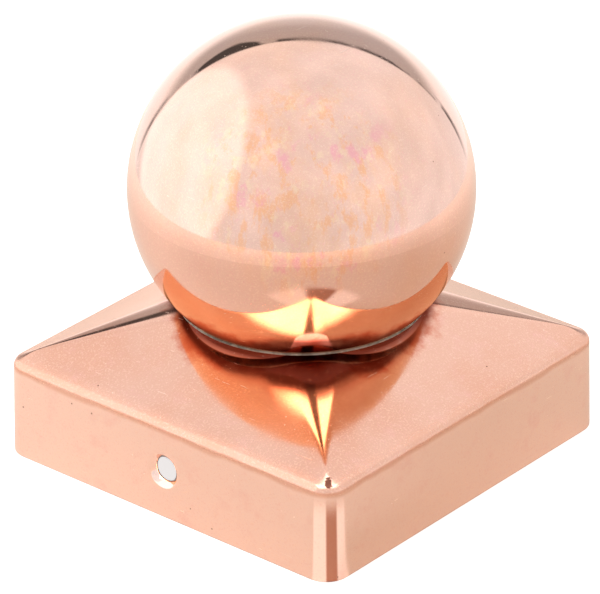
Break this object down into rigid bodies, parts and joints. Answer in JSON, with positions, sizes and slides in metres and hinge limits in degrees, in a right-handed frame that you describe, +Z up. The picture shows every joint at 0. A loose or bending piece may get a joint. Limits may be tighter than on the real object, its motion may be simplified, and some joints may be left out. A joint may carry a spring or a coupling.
{
  "type": "fence post cap",
  "caption": "Sheet-metal cap for a square fence post: skirted pyramid hood with a raised round seat that carries a hollow ball, clamped by a bolt from below.",
  "frame": {"origin": "centre of the skirt's bottom rim", "axes": "+Z up through the middle of the ball; +Y and -Y through the two screw holes; +X square to a plain side"},
  "size_m": [0.0744, 0.0744, 0.0786],
  "materials": {
    "polished_copper": "polished copper sheet, lightly tarnished and scratched",
    "mill_copper": "mill-finish copper strip, heat stained by brazing",
    "turned_brass": "turned brass",
    "bright_steel": "bright stainless steel",
    "grey_seal": "grey sealing ring"
  },
  "bodies": {
    "root": {"hood": "polished_copper", "seal_ring": "grey_seal", "ball_lower": "polished_copper", "ball_upper": "polished_copper", "ball_lip": "mill_copper", "threaded_bush": "turned_brass", "clamp_bolt": "bright_steel", "clamp_washer": "bright_steel", "spring_washer": "bright_steel"}
  },
  "joints": []
}
